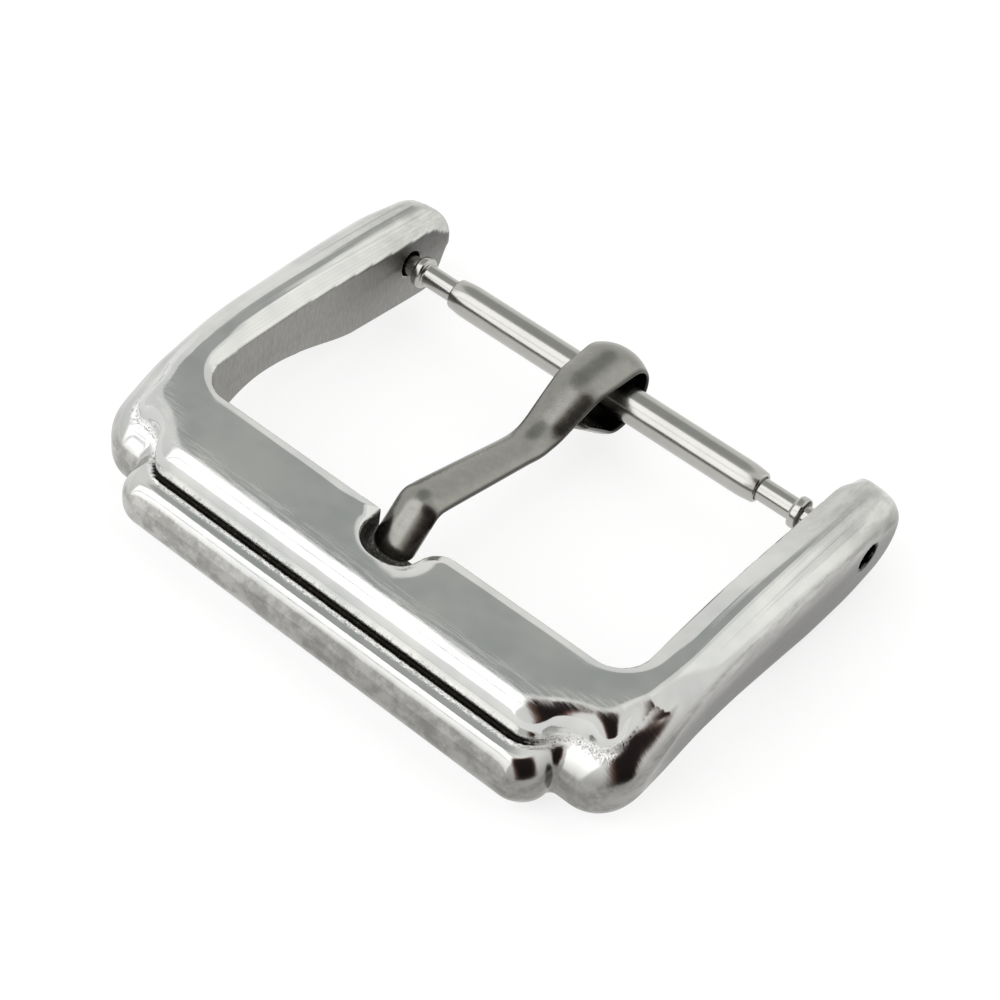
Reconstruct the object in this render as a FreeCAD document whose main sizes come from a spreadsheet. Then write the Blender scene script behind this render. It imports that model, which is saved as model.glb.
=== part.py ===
"""Tang buckle for an 18 mm strap end: frame, tongue and a four-piece spring bar.

Every piece is drawn about the spring bar's axis: X runs along the bar, -Y points to the front
bar that the strap folds over, and +Z is up. A Placement then stands the whole buckle on Z = 0,
with the middle of its outline on the origin.
"""
import FreeCAD, Part
import math
import os
import Sketcher

VECTOR = FreeCAD.Vector
UP = VECTOR(0, 0, 1)

# name, millimetres, what it measures
DIMENSIONS = [
    ("strap_width", 18.0, "clear width between the two lugs"),
    ("bar_height", 1.95, "spring bar axis above the resting face"),
    ("inner_reach", 11.05, "bar axis to the inner face of the front bar"),
    ("front_reach", 15.3, "bar axis to the front edge"),
    ("lug_reach", 2.5, "bar axis to the round ends of the lugs"),
    ("lug_face", 11.2, "half width over the lugs"),
    ("waist_face", 11.0, "half width over the middle of the arms"),
    ("lobe_face", 8.85, "half width over the front lobe of the lower tier"),
    ("step_reach", 13.85, "bar axis to the inner corner between front and corner lobes"),
    ("bead_height", 0.15, "top of the lower tier, above the bar axis"),
    ("shoulder_height", 1.75, "highest line of the arms, above the bar axis"),
    ("lug_height", 1.35, "top of the lugs, above the bar axis"),
    ("arch_height", -0.6, "highest line under the arms, from the bar axis"),
    ("arch_reach", 7.6, "bar axis to the highest line under the arms"),
    ("crest_reach", 7.0, "bar axis to the highest line of the arms"),
    ("bead_depth", 2.0, "front edge to the back of the bead"),
    ("bead_round", 0.45, "rounding of the bead's upper front edge"),
    ("bead_under_round", 0.9, "rounding of the bead's lower front edge"),
    ("tier_reach", 14.3, "bar axis to the foot of the upper tier"),
    ("tier_height", 1.6, "top of the upper tier, above the bar axis"),
    ("tier_foot", -0.3, "where the upper tier is sunk to in the lower one"),
    ("tier_brow", 2.3, "radius of the upper tier's long front curve"),
    ("tier_back", 7.4, "bar axis to the back end of the upper tier"),
    ("opening_corner", 1.2, "rounding of the strap opening's two front corners"),
    ("notch_width", 2.2, "width of the tongue's rest"),
    ("notch_reach", 12.6, "bar axis to the front wall of the tongue's rest"),
    ("notch_floor", 0.0, "floor of the tongue's rest, from the bar axis"),
    ("pivot_hole", 1.0, "drilled hole through each lug"),
    ("barrel_diameter", 1.3, "outside of the spring bar"),
    ("barrel_length", 13.65, "spring bar tube"),
    ("barrel_bore", 1.02, "inside of the tube"),
    ("mouth_bore", 0.9, "inside of the rolled-in tube ends"),
    ("mouth_length", 0.3, "length of each rolled-in end"),
    ("barrel_round", 0.12, "rounding of the tube ends"),
    ("neck_diameter", 0.84, "plunger shank"),
    ("head_diameter", 0.96, "plunger head, held behind the rolled-in end"),
    ("head_length", 0.6, "plunger head"),
    ("head_play", 0.05, "gap from plunger head to rolled-in end"),
    ("flange_start", 8.2, "bar centre to the near side of the flange"),
    ("flange_length", 0.4, "flange that a fork tool pushes on"),
    ("flange_diameter", 1.2, "flange"),
    ("tip_diameter", 0.8, "pivot that sits in the lug's hole"),
    ("tip_end", 10.3, "bar centre to the end of the pivot"),
    ("tip_chamfer", 0.12, "bevel of the pivot's end"),
    ("wire_diameter", 0.14, "spring wire"),
    ("coil_diameter", 0.72, "middle diameter of the spring's coil"),
    ("coil_turns", 26.0, "turns of the spring"),
    ("coil_play", 0.02, "gap from the coil to each plunger head"),
    ("strip", 0.5, "thickness of the tongue"),
    ("eye_radius", 1.12, "inside of the tongue's eye"),
    ("eye_width", 2.1, "width of the tongue at its eye"),
    ("waist_width", 1.45, "width of the tongue at its dip"),
    ("tongue_width", 1.56, "width of the tongue at its bent tip"),
]


class Size:
    """A dimension, or a sum worked out from dimensions, together with the expression for it."""

    def __init__(self, text, value):
        self.text = text
        self.value = value

    @staticmethod
    def of(number):
        return number if isinstance(number, Size) else Size(repr(float(number)), float(number))

    def __add__(self, other):
        other = Size.of(other)
        return Size(f"({self.text} + {other.text})", self.value + other.value)

    def __sub__(self, other):
        other = Size.of(other)
        return Size(f"({self.text} - {other.text})", self.value - other.value)

    def __mul__(self, other):
        other = Size.of(other)
        return Size(f"({self.text} * {other.text})", self.value * other.value)

    def __truediv__(self, other):
        other = Size.of(other)
        return Size(f"({self.text} / {other.text})", self.value / other.value)

    def __neg__(self):
        return Size(f"(-1 * {self.text})", -self.value)


def make_sheet(doc):
    """Write the dimensions into the spreadsheet, and give each one back as a Size."""
    sheet = doc.addObject("Spreadsheet::Sheet", "sizes")
    sizes = {}
    for row, (name, value, meaning) in enumerate(DIMENSIONS, start=1):
        sheet.set(f"A{row}", name)
        sheet.set(f"B{row}", str(value))
        sheet.set(f"C{row}", meaning)
        sheet.setAlias(f"B{row}", name)
        sizes[name] = Size(f"sizes.{name}", value)
    doc.recompute()
    return sizes


def bind(thing, prop, size):
    """Tie one property of a feature to the spreadsheet."""
    thing.setExpression(prop, size.text)


# ---------------------------------------------------------------- sketches


def sketch_on(body, name, plane):
    """An empty sketch on one of the body's own origin planes."""
    sketch = body.newObject("Sketcher::SketchObject", name)
    base = next(item for item in body.Origin.OriginFeatures if item.Role == plane)
    sketch.AttachmentSupport = [(base, "")]
    sketch.MapMode = "FlatFace"
    return sketch


def pin_point(sketch, edge, end, point):
    """Hold one end of an edge at a point whose two coordinates come from the spreadsheet."""
    for kind, axis, coordinate in (("DistanceX", -2, point[0]), ("DistanceY", -1, point[1])):
        coordinate = Size.of(coordinate)
        if abs(coordinate.value) < 1e-9:
            sketch.addConstraint(Sketcher.Constraint("PointOnObject", edge, end, axis))
            continue
        held = Sketcher.Constraint(kind, -1, 1, edge, end, coordinate.value)
        index = sketch.addConstraint(held)
        bind(sketch, f"Constraints[{index}]", coordinate)


def flat(point):
    return VECTOR(Size.of(point[0]).value, Size.of(point[1]).value, 0)


def arc_between(start, end, radius, left):
    """The short arc between two points that bulges left or right of the way from start to end."""
    chord = end - start
    across = VECTOR(-chord.y, chord.x, 0).normalize() * (1 if left else -1)
    half = chord.Length / 2
    middle = (start + end) / 2 + across * (radius - math.sqrt(radius**2 - half**2))
    return Part.Arc(end, middle, start) if left else Part.Arc(start, middle, end)


def draw_outline(sketch, steps):
    """Draw a closed outline and tie its corners and radii to the spreadsheet.

    Each step is the next corner, as (x, y) for a straight edge or (x, y, radius) for an arc: a
    positive radius bulges to the left of the way the outline runs, a negative one to the right.
    """
    corners = [step[:2] for step in steps]
    ends = []
    for index, step in enumerate(steps):
        start, end = flat(corners[index - 1]), flat(step)
        if len(step) == 2:
            edge = sketch.addGeometry(Part.LineSegment(start, end), False)
            first, last = 1, 2
        else:
            radius = Size.of(step[2])
            left = radius.value > 0
            edge = sketch.addGeometry(arc_between(start, end, abs(radius.value), left), False)
            first, last = (2, 1) if left else (1, 2)
            index_of_radius = sketch.addConstraint(
                Sketcher.Constraint("Radius", edge, abs(radius.value)))
            bind(sketch, f"Constraints[{index_of_radius}]", radius if left else -radius)
        pin_point(sketch, edge, last, corners[index])
        ends.append((edge, first, last))
    for index, (edge, first, _) in enumerate(ends):
        before, _, joint = ends[index - 1]
        sketch.addConstraint(Sketcher.Constraint("Coincident", before, joint, edge, first))


def mirrored(right_half):
    """A whole outline from its right half, which starts and ends on the middle plane."""
    left_half = []
    following = right_half[1:] + [None]
    for step, after in zip(reversed(right_half), reversed(following)):
        corner = (-Size.of(step[0]), step[1])
        left_half.append(corner if after is None or len(after) == 2 else corner + (after[2],))
    return right_half[1:] + left_half[1:]


def draw_margin(sketch):
    """A square far outside every piece: with an outline inside it, a pocket trims to the outline."""
    half = 20.0
    draw_outline(sketch, [(half, -half), (half, half), (-half, half), (-half, -half)])


# ---------------------------------------------------------------- features


def pad(body, name, sketch, length):
    feature = body.newObject("PartDesign::Pad", name)
    feature.Profile = sketch
    feature.Midplane = True
    bind(feature, "Length", length)
    return feature


def cut_through(body, name, sketch):
    feature = body.newObject("PartDesign::Pocket", name)
    feature.Profile = sketch
    feature.Type = "ThroughAll"
    feature.Midplane = True
    return feature


def turn(body, name, sketch):
    """Revolve a half profile about the bar's axis."""
    feature = body.newObject("PartDesign::Revolution", name)
    feature.Profile = sketch
    feature.ReferenceAxis = (sketch, ["H_Axis"])
    feature.Angle = 360
    return feature


# ---------------------------------------------------------------- frame


def rail_profile(size):
    """Side view of the frame: bead, rising shoulder, round lug and arched underside."""
    base = -size["bar_height"]
    front = -size["front_reach"]
    bead = size["bead_height"]
    bead_round = size["bead_round"]
    under_round = size["bead_under_round"]
    lug_top = size["lug_height"]
    lug_end = size["lug_reach"]
    lug_middle = Size.of(-0.2)
    upper_round = lug_top - lug_middle
    lower_round = lug_middle - base
    shoulder_curve = 13.0
    arm_curve = 80.0
    lug_heel = -0.6
    arch_front = -11.6
    arch_back_curve = 18.6
    arch_front_curve = 6.6
    return [
        (front + under_round, base),
        (front, base + under_round, under_round),
        (front, bead - bead_round),
        (front + bead_round, bead, bead_round),
        (front + size["bead_depth"], bead),
        (-size["crest_reach"], size["shoulder_height"], shoulder_curve),
        (lug_end - upper_round, lug_top, arm_curve),
        (lug_end, lug_middle, upper_round),
        (lug_end - lower_round, base, lower_round),
        (lug_heel, base),
        (-size["arch_reach"], size["arch_height"], -arch_back_curve),
        (arch_front, base, -arch_front_curve),
    ]


def opening_steps(size):
    """The strap opening's right half, from behind its inner face round to the middle of the front."""
    half_strap = size["strap_width"] / 2
    corner = size["opening_corner"]
    inner = -size["inner_reach"]
    return [
        (half_strap, inner + corner),
        (half_strap - corner, inner, corner + 0.05),
        (0, inner - 0.1),
    ]


def rail_half_plan(size):
    """Plan of the lower tier, right half: front lobe, inner corner, corner lobe, arm and lug."""
    half_strap = size["strap_width"] / 2
    front = -size["front_reach"]
    lobe = size["lobe_face"]
    lobe_round = 1.05
    waist = size["waist_face"]
    lug = size["lug_face"]
    lug_round = 0.9
    past_lug = size["lug_reach"] + 0.1
    return [
        (0, front),
        (lobe - lobe_round, front),
        (lobe, front + lobe_round, -lobe_round - 0.05),
        (lobe + 0.2, -size["step_reach"]),
        (waist + 0.05, -size["step_reach"] + 1.25, -2.0),
        (waist, -7.5),
        (lug, 0),
        (lug, past_lug - 1.0),
        (lug - lug_round, past_lug, -1.0),
        (half_strap, past_lug),
    ] + opening_steps(size)


def plateau_half_plan(size):
    """Plan of the upper tier, right half: it follows the lower tier's stepped corner."""
    foot = -size["tier_reach"]
    back = -size["tier_back"]
    lobe_round = 0.6
    step_round = 0.7
    return [
        (0, foot),
        (7.5, foot),
        (7.95, foot + 0.3, -lobe_round),
        (8.3, foot + 0.85),
        (8.8, foot + 1.1, step_round),
        (9.5, foot + 1.25),
        (10.05, foot + 1.8, -lobe_round),
        (10.0, back - 2.1),
        (9.6, back),
        (size["strap_width"] / 2, back),
    ] + opening_steps(size)


def make_rail(doc, size):
    """The lower tier with both arms: the side view, trimmed to the plan."""
    body = doc.addObject("PartDesign::Body", "rail")
    side = sketch_on(body, "rail_side", "YZ_Plane")
    draw_outline(side, rail_profile(size))
    block = pad(body, "rail_block", side, size["lug_face"] * 2.2)
    plan = sketch_on(body, "rail_plan", "XY_Plane")
    draw_margin(plan)
    draw_outline(plan, mirrored(rail_half_plan(size)))
    body.Tip = cut_through(body, "rail_trim", plan)
    return body


def plateau_profile(size):
    """Side view of the upper tier: a long front curve up to a flat top."""
    foot = size["tier_foot"]
    front = -size["tier_reach"] - 0.1
    brow_start = 0.5
    brow_depth = 1.9
    top = size["tier_height"]
    back = -size["tier_back"] + 0.1
    return [
        (front, foot),
        (front, foot + brow_start),
        (front + brow_depth, top, size["tier_brow"]),
        (back, top),
        (back, foot),
    ]


def make_plateau(doc, size):
    """The upper tier: its side view, trimmed to the plan."""
    body = doc.addObject("PartDesign::Body", "plateau")
    side = sketch_on(body, "plateau_side", "YZ_Plane")
    draw_outline(side, plateau_profile(size))
    pad(body, "plateau_block", side, size["lug_face"] * 2.2)
    plan = sketch_on(body, "plateau_plan", "XY_Plane")
    draw_margin(plan)
    draw_outline(plan, mirrored(plateau_half_plan(size)))
    body.Tip = cut_through(body, "plateau_trim", plan)
    return body


def make_tool(doc, name, kind, **sizes):
    """A box or cylinder that is cut away, with its sizes and place bound to the spreadsheet."""
    tool = doc.addObject(f"Part::{kind}", name)
    for prop, size in sizes.items():
        bind(tool, prop.replace("_", "."), Size.of(size))
    return tool


def make_notch(doc, size):
    """The tongue's rest: a round-ended trough in the middle of the front bar."""
    width = size["notch_width"]
    overshoot = 1.0
    depth = size["tier_height"] - size["notch_floor"] + overshoot
    centre = -size["notch_reach"] + width / 2
    run_length = size["notch_reach"] - size["inner_reach"] - width / 2 + overshoot / 2
    round_end = make_tool(doc, "notch_end", "Cylinder", Radius=width / 2, Height=depth)
    bind(round_end, "Placement.Base.y", centre)
    bind(round_end, "Placement.Base.z", size["notch_floor"])
    run = make_tool(doc, "notch_run", "Box", Width=run_length, Length=width, Height=depth)
    bind(run, "Placement.Base.x", -width / 2)
    bind(run, "Placement.Base.y", centre)
    bind(run, "Placement.Base.z", size["notch_floor"])
    return fuse(doc, "notch", round_end, run)


def fuse(doc, name, *pieces):
    joined = doc.addObject("Part::MultiFuse", name)
    joined.Shapes = list(pieces)
    joined.Refine = True
    return joined


def cut(doc, name, base, tool):
    result = doc.addObject("Part::Cut", name)
    result.Base = base
    result.Tool = tool
    return result


def make_frame(doc, size):
    """The one-piece frame: two tiers, the tongue's rest and the drilled lugs."""
    tiers = fuse(doc, "tiers", make_rail(doc, size), make_plateau(doc, size))
    notched = cut(doc, "notched_tiers", tiers, make_notch(doc, size))
    drill = make_tool(doc, "drill", "Cylinder", Radius=size["pivot_hole"] / 2,
                      Height=size["lug_face"] * 2.2)
    bind(drill, "Placement.Base.x", -size["lug_face"] * 1.1)
    drill.Placement.Rotation = FreeCAD.Rotation(VECTOR(0, 1, 0), 90)
    return cut(doc, "frame", notched, drill)


# ---------------------------------------------------------------- spring bar


def make_barrel(doc, size):
    """The tube of the spring bar, with both ends rolled in to hold the plungers."""
    body = doc.addObject("PartDesign::Body", "spring_bar_barrel")
    half = size["barrel_length"] / 2
    outside = size["barrel_diameter"] / 2
    bore = size["barrel_bore"] / 2
    mouth = size["mouth_bore"] / 2
    inner_end = half - size["mouth_length"]
    edge = size["barrel_round"]
    section = sketch_on(body, "barrel_section", "XY_Plane")
    draw_outline(section, [
        (half, mouth), (half, outside - edge), (half - edge, outside, -edge),
        (-half + edge, outside), (-half, outside - edge, -edge), (-half, mouth),
        (-inner_end, mouth), (-inner_end, bore), (inner_end, bore), (inner_end, mouth)])
    body.Tip = turn(body, "barrel_tube", section)
    return body


def make_plunger(doc, size, name):
    """A plunger: head inside the tube, shank, flange and the pivot that enters the lug."""
    body = doc.addObject("PartDesign::Body", name)
    head_out = size["barrel_length"] / 2 - size["mouth_length"] - size["head_play"]
    head_in = head_out - size["head_length"]
    flange_in = size["flange_start"]
    flange_out = flange_in + size["flange_length"]
    tip = size["tip_end"]
    head = size["head_diameter"] / 2
    neck = size["neck_diameter"] / 2
    flange = size["flange_diameter"] / 2
    pivot = size["tip_diameter"] / 2
    bevel = size["tip_chamfer"]
    section = sketch_on(body, name + "_section", "XY_Plane")
    draw_outline(section, [
        (head_in, 0), (head_in, head), (head_out, head), (head_out, neck), (flange_in, neck),
        (flange_in, flange - bevel), (flange_in + bevel, flange, -bevel),
        (flange_out - bevel, flange), (flange_out, flange - bevel, -bevel), (flange_out, pivot),
        (tip - bevel, pivot), (tip, pivot - bevel), (tip, 0)])
    body.Tip = turn(body, name + "_turned", section)
    return body


def make_spring(doc, size):
    """The coil spring that pushes the two plungers apart, as one swept wire."""
    body = doc.addObject("PartDesign::Body", "spring_bar_spring")
    wire = size["wire_diameter"]
    head_in = size["barrel_length"] / 2 - size["mouth_length"] - size["head_play"] - size["head_length"]
    reach = head_in - size["coil_play"] - wire / 2
    section = sketch_on(body, "wire_section", "XY_Plane")
    centre = VECTOR(-reach.value, size["coil_diameter"].value / 2, 0)
    circle = section.addGeometry(Part.Circle(centre, UP, wire.value / 2), False)
    pin_point(section, circle, 3, (-reach, size["coil_diameter"] / 2))
    index = section.addConstraint(Sketcher.Constraint("Diameter", circle, wire.value))
    bind(section, f"Constraints[{index}]", wire)
    coil = body.newObject("PartDesign::AdditiveHelix", "coil")
    coil.Profile = section
    coil.ReferenceAxis = (section, ["H_Axis"])
    coil.Mode = "height-turns-growth"
    bind(coil, "Height", reach * 2)
    bind(coil, "Turns", size["coil_turns"])
    coil.Growth = 0
    coil.Angle = 0
    body.Tip = coil
    return body


# ---------------------------------------------------------------- tongue


def tongue_line(size):
    """Middle line of the tongue's strip in side view: corners (y, z) and the radius of each bend."""
    eye = size["eye_radius"].value + size["strip"].value / 2
    wrap = math.radians(40)
    turn_in = eye * math.tan(wrap / 2)
    tail = 2.8
    return [
        ((-11.7, 0.38), 0),
        ((-10.2, 1.86), 0.6),
        ((-4.05, 0.22), 2.0),
        ((-1.77, eye), 1.5),
        ((eye, eye), eye),
        ((eye, -eye), eye),
        ((-turn_in, -eye), eye),
        ((-turn_in - tail * math.cos(wrap), -eye + tail * math.sin(wrap)), 0),
    ]


def offset_line(line, distance):
    """The same line moved sideways, to the left of its direction when distance is positive."""
    points = [VECTOR(y, z, 0) for (y, z), _ in line]
    ways = [(after - before).normalize() for before, after in zip(points, points[1:])]
    lefts = [VECTOR(-way.y, way.x, 0) for way in ways]
    moved = [points[0] + lefts[0] * distance]
    for point, before, after in zip(points[1:], lefts, lefts[1:]):
        moved.append(point + (before + after) * (distance / (1 + before.dot(after))))
    moved.append(points[-1] + lefts[-1] * distance)
    turns = [0] + [math.copysign(1, before.cross(after).z) for before, after in zip(ways, ways[1:])] + [0]
    radii = [radius - way * distance for (_, radius), way in zip(line, turns)]
    return list(zip(moved, radii))


def rounded_edges(corners):
    """Straight edges and tangent arcs through a list of (corner, radius)."""
    edges = []
    last = corners[0][0]
    for (before, _), (corner, radius), (after, _) in zip(corners, corners[1:], corners[2:]):
        way_in = (corner - before).normalize()
        way_out = (after - corner).normalize()
        bend = way_in.getAngle(way_out)
        trim = radius * math.tan(bend / 2)
        start, end = corner - way_in * trim, corner + way_out * trim
        inward = (way_out - way_in).normalize()
        middle = corner + inward * (radius / math.cos(bend / 2) - radius)
        if (start - last).Length > 1e-6:
            edges.append(Part.LineSegment(last, start))
        clockwise = way_in.cross(way_out).z < 0
        edges.append(Part.Arc(end, middle, start) if clockwise else Part.Arc(start, middle, end))
        last = end
    edges.append(Part.LineSegment(last, corners[-1][0]))
    return edges


def tongue_half_plan(size):
    """Plan of the tongue, right half: wide at the eye, slim at the dip, round at the tip."""
    eye = size["eye_width"] / 2
    waist = size["waist_width"] / 2
    tip = size["tongue_width"] / 2
    end = 11.9
    return [
        (0, -end),
        (tip - 0.5, -end),
        (tip, -end + 0.55, -0.6),
        (tip, -10.2),
        (waist, -5.0),
        (eye, -1.6),
        (eye, 3.0),
        (0, 3.0),
    ]


def make_tongue(doc, size):
    """The tongue: a bent strip whose tail curls round the spring bar and closes under the strip."""
    body = doc.addObject("PartDesign::Body", "tongue")
    line = tongue_line(size)
    half = size["strip"].value / 2
    upper = offset_line(line, -half)
    lower = offset_line(line, half)
    side = sketch_on(body, "tongue_side", "YZ_Plane")
    for edge in rounded_edges(upper) + rounded_edges(lower):
        side.addGeometry(edge, False)
    for index in (0, -1):
        side.addGeometry(Part.LineSegment(upper[index][0], lower[index][0]), False)
    strip = pad(body, "tongue_strip", side, size["eye_width"])
    plan = sketch_on(body, "tongue_plan", "XY_Plane")
    draw_margin(plan)
    draw_outline(plan, mirrored(tongue_half_plan(size)))
    body.Tip = cut_through(body, "tongue_trim", plan)
    return body


# ---------------------------------------------------------------- assembly


def check(doc, pieces):
    doc.recompute()
    for item in doc.Objects:
        if "Invalid" in item.State or "Error" in item.State:
            raise RuntimeError(f"{item.Name} did not build: {item.State}")
    for piece in pieces:
        shape = piece.Shape
        if shape.isNull() or not shape.isValid() or shape.Volume <= 0:
            raise RuntimeError(f"{piece.Label} has no sound solid")
        box = shape.BoundBox
        print(f"{piece.Label:28s} solids {len(shape.Solids)}  volume {shape.Volume:9.3f} mm3  "
              f"x {box.XMin:.2f}..{box.XMax:.2f}  y {box.YMin:.2f}..{box.YMax:.2f}  "
              f"z {box.ZMin:.2f}..{box.ZMax:.2f}")


def main():
    doc = FreeCAD.newDocument("tang_buckle")
    size = make_sheet(doc)
    left = make_plunger(doc, size, "spring_bar_left_plunger")
    pieces = [make_frame(doc, size), make_tongue(doc, size), make_barrel(doc, size), left,
              make_plunger(doc, size, "spring_bar_right_plunger"), make_spring(doc, size)]
    half_turn = FreeCAD.Rotation(UP, 180)
    for piece in pieces:
        piece.Label = piece.Name
        if piece is left:
            piece.Placement.Rotation = half_turn
        bind(piece, "Placement.Base.y", (size["front_reach"] - size["lug_reach"]) / 2)
        bind(piece, "Placement.Base.z", size["bar_height"])
    check(doc, pieces)
    os.makedirs("parts", exist_ok=True)
    for piece in pieces:
        piece.Shape.exportStep(f"parts/{piece.Label}.step")


main()
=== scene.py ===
"""Looks of the tang buckle: polished frame, satin tongue and turned spring bar on a pale table.

Shapes are worked out in millimetres about the spring bar's axis: X along the bar, -Y to the front
bar, Z up. place() then puts them where the CAD frame has that axis.
"""
import math

import bpy
import numpy as np
from mathutils import Matrix, Vector


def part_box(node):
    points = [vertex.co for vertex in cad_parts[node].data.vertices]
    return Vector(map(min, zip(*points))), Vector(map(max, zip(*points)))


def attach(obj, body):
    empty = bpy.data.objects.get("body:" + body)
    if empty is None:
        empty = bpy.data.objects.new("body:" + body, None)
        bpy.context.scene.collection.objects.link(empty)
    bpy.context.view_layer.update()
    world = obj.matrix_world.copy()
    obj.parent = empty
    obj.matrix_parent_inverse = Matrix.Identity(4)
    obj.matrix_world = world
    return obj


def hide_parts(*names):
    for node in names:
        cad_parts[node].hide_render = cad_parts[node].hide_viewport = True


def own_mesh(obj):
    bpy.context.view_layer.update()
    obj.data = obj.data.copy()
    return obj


MM = 0.001

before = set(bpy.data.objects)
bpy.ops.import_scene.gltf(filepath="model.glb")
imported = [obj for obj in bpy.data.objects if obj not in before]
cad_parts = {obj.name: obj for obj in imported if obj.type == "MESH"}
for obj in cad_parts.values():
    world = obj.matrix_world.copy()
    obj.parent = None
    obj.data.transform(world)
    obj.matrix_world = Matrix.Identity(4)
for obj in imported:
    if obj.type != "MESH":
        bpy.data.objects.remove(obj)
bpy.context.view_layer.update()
BARREL_LOW, BARREL_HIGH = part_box("spring_bar_barrel")
AXIS = (BARREL_LOW + BARREL_HIGH) / 2

# the coil spring, in millimetres: half its length, turns in that half, and radius of coil and wire
SPRING_REACH = 5.785
SPRING_TURNS = 13
SPRING_COIL = 0.36
SPRING_WIRE = 0.07

# ---------------------------------------------------------------- distance fields


def join(a, b, radius):
    """Both solids together, with the inner corner between them filled to a radius."""
    return np.maximum(radius, np.minimum(a, b)) - np.hypot(
        np.maximum(radius - a, 0), np.maximum(radius - b, 0))


def trim(a, b, radius):
    """What two solids have in common, with the outer edge between them rounded to a radius."""
    return np.minimum(-radius, np.maximum(a, b)) + np.hypot(
        np.maximum(radius + a, 0), np.maximum(radius + b, 0))


def ramp(start, end, value):
    """0 before start, 1 after end, and a smooth step between them."""
    t = np.clip((value - start) / (end - start), 0, 1)
    return t * t * (3 - 2 * t)


def blend(low, high, share):
    """A value between two values."""
    return low + (high - low) * share


# ---------------------------------------------------------------- frame's shape

BASE = -1.95  # height of the resting face
FRONT = -15.3  # front of the lower tier
FOOT = -14.3  # front of the upper tier
INNER = -11.05  # inner face of the front bar
CREST = -7.0  # highest line of the arms
CREST_HEIGHT = 1.75
ARM_CURVE = 160  # the larger, the straighter the arms behind that line
LUG_END = 2.5
BEAD_TOP = 0.15
HALF_STRAP = 9.0  # half the clear width between the arms
REST_X = 0.28  # middle, and radius, of the tongue's rest
REST_Y = -11.7
REST_RADIUS = 1.1
BORE_RADIUS = 0.5
BEVEL_TILT = math.radians(23)  # slope round the opening
BEVEL_COS = math.cos(BEVEL_TILT)
BEVEL_SIN = math.sin(BEVEL_TILT)

# the box that is meshed, and the mesh's cell
MESH_LOW = (-11.4, -16.1, -2.15)
MESH_HIGH = (11.4, 2.7, 2.0)
MESH_CELL = 0.088


def arm_share(y):
    """0 on the front bar and 1 on the arms."""
    return ramp(-12.6, -10.6, y)


def lobe_share(ax):
    """0 on the straight front and 1 on the stepped corners."""
    return ramp(7.6, 8.8, ax)


def arm_height(y):
    """Height of the arms behind their highest line."""
    return CREST_HEIGHT - (y - CREST) ** 2 / ARM_CURVE


def shoulder(y, outward):
    """Height of the lower tier: a bead that slopes outward in front, then the rising arm."""
    swell = 13
    before = np.sqrt(np.maximum(swell ** 2 - (y - CREST) ** 2, 1)) - (swell - CREST_HEIGHT)
    rising = np.where(y < CREST, before, arm_height(y))
    bead = BEAD_TOP + 0.1 - 0.2 * np.clip(outward, 0, 1.4)
    return -join(-rising, -bead, 0.12)


def upper_height(y):
    """Height of the upper tier: level on the front bar, then along the arm's inner ridge."""
    fall = 0.04 + 0.18 * ramp(-7.0, -1.0, y)
    return np.where(y < CREST, 1.6 + 0.11 * ramp(-12.0, CREST, y), arm_height(y) - fall)


def lower_outline(ax, y):
    """The lower tier's outline: a lobe in front, and a rounded corner beside and behind it."""
    side = 11.13 - 0.1 * ramp(-12.5, -9.0, y) + 0.17 * ramp(-8.0, 0.5, y)
    lobe = trim(ax - 8.85, FRONT - y, 1.05)
    corner = trim(ax - side, -13.93 - y, 1.6)
    return join(lobe, corner, 0.15)


def upper_outline(ax, y, z):
    """The upper tier's outline, whose corners are crisp at the foot and soft at the top."""
    soft = 0.55 * ramp(0.7, 1.7, z)
    side = 10.05 + 0.28 * ramp(-12.3, -9.0, y)
    lean = blend(math.radians(31), math.radians(42), soft)
    slant = (ax - 7.95) * np.cos(lean) - (y + 14.15) * np.sin(lean)
    lobe = trim(np.maximum(slant, ax - side), FOOT - y, blend(0.4, 1.5, soft))
    corner = trim(ax - side, -13.05 - y, blend(0.5, 1.4, soft))
    return join(lobe, corner, 0.6)


def arch(ax, y, z):
    """Positive under the arms: a hollow by each corner, which lies lower towards the outer face."""
    z = z + 0.48 * np.clip(ax - 9.0, 0, 2.2)
    deepest = -7.9
    back = np.hypot(y - deepest, z + 6.75) - 6.4
    front = np.hypot(y - deepest, z + 3.85) - 3.5
    hollow = np.where(y > deepest, back, front)
    heel = z + 1.78 + 0.1 * y + np.maximum(-6 - y, 0)
    return -join(hollow, heel, 0.8)


def opening_field(ax, y):
    """The space inside the frame, with rounded corners at the front bar."""
    return trim(ax - HALF_STRAP, INNER - y, 1.2)


def mouth_field(x, y):
    """The opening with the tongue's rest added to it, whose right-hand side flares out."""
    rest = np.hypot(x - REST_X, np.minimum(y - REST_Y, 0)) - REST_RADIUS
    return join(opening_field(np.abs(x), y), rest, blend(0.06, 0.9, ramp(0.0, 1.3, x)))


def rest_cut(mouth, z):
    """What is cut away for the tongue's rest: the mouth, from the bar's height up."""
    return trim(mouth, -z, 0.4)


def rail_top(ax, y, upper):
    """Height of the lower tier, which leans outward where it climbs to the arm."""
    lean = 0.22 * ramp(-13.4, -12.4, y) * (1 - ramp(-10.5, -8.5, y))
    tilt = 0.08 * arm_share(y) * (ax - 10.0)
    return shoulder(y, upper) - tilt - lean * np.clip(ax - 10.5, -0.3, 1)


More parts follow.
